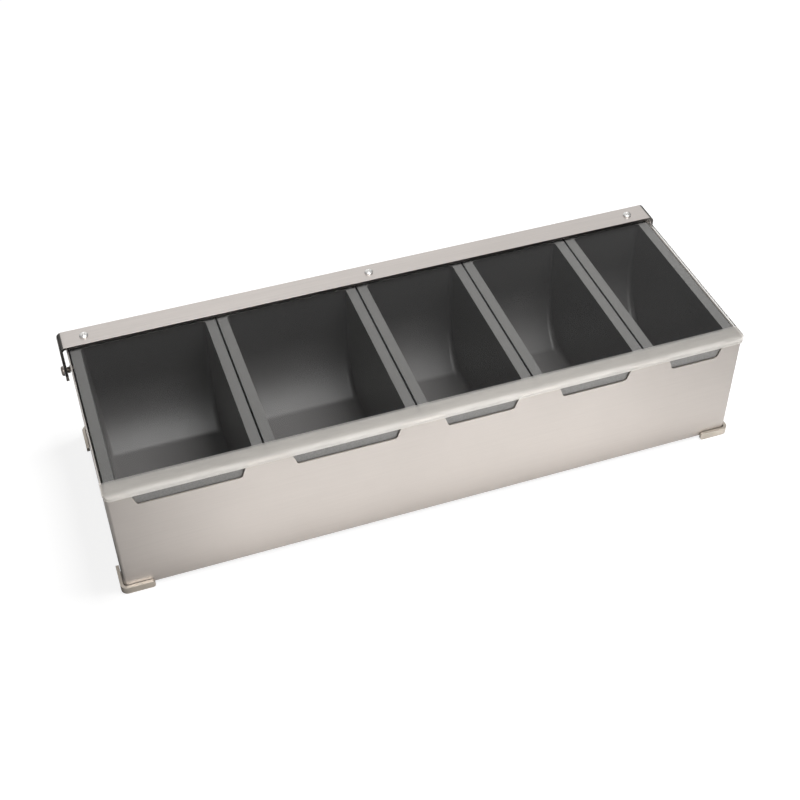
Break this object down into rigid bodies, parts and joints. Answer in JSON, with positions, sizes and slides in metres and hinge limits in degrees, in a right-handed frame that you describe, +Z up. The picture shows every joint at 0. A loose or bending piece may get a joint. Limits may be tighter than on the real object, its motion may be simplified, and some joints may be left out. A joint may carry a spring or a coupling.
{
  "type": "condiment caddy",
  "caption": "Long steel condiment tray on strap feet, with scooped lift-out bins side by side, finger notches in front and a clear lid hinged on a steel bar at the back.",
  "frame": {"origin": "on the table under the middle of the caddy, with the feet's undersides at height 0", "axes": "+X along the caddy to its right-hand end as seen from the front, +Y to the back where the lid is hinged, +Z up"},
  "size_m": [0.4452, 0.1606, 0.0943],
  "materials": {
    "brushed_steel": "stainless sheet, brushed along the length",
    "bin_plastic": "moulded grey plastic, fine matt texture",
    "clear_plastic": "clear polished sheet with a frosted front edge",
    "nickel_steel": "nickel-plated strap, satin",
    "bright_steel": "bright rivet and screw heads",
    "zinc_steel": "zinc-plated, dull"
  },
  "bodies": {
    "tray": {"tray": "brushed_steel", "bin_1": "bin_plastic", "bin_2": "bin_plastic", "bin_3": "bin_plastic", "bin_4": "bin_plastic", "bin_5": "bin_plastic", "pivot_screw_left": "bright_steel", "pivot_screw_right": "bright_steel", "pivot_spacer_left": "zinc_steel", "pivot_spacer_right": "zinc_steel", "lock_nut_left": "zinc_steel", "lock_nut_right": "zinc_steel", "foot_front_left": "nickel_steel", "foot_front_right": "nickel_steel", "foot_back_left": "nickel_steel", "foot_back_right": "nickel_steel", "foot_rivets": "nickel_steel"},
    "lid": {"lid": "clear_plastic", "hinge_bar": "brushed_steel", "lid_rivet_left": "bright_steel", "lid_rivet_middle": "bright_steel", "lid_rivet_right": "bright_steel"}
  },
  "joints": [
    {"name": "lid_hinge", "type": "hinge", "parent": "tray", "child": "lid", "pos_m": [0, 0.06985, 0.0675], "axis": [-1, 0, 0], "range_deg": [0, 135]}
  ]
}
